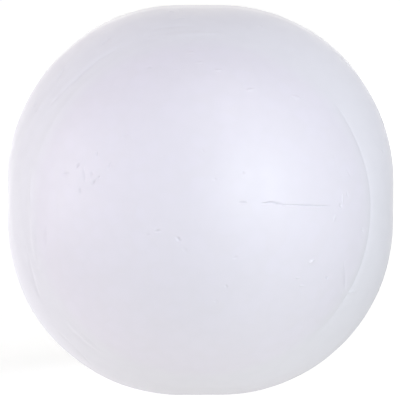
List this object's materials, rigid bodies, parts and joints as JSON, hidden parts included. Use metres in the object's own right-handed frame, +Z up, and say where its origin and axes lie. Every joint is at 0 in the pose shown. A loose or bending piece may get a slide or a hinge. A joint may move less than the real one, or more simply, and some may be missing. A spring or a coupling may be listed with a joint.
{
  "type": "polystyrene ball",
  "caption": "Moulded foam craft ball, a little squared seen from the front, with a round dome front and back, a swelling belt between them and small flats to stand on.",
  "frame": {"origin": "middle of the ball", "axes": "+Z up, away from the lower flat, along the ball's height; -Y towards the dome seen in the picture; +X to the right of someone who looks at that dome"},
  "size_m": [0.0992, 0.099, 0.1],
  "materials": {
    "white_foam": "satin"
  },
  "bodies": {
    "root": {"ball": "white_foam"}
  },
  "joints": []
}
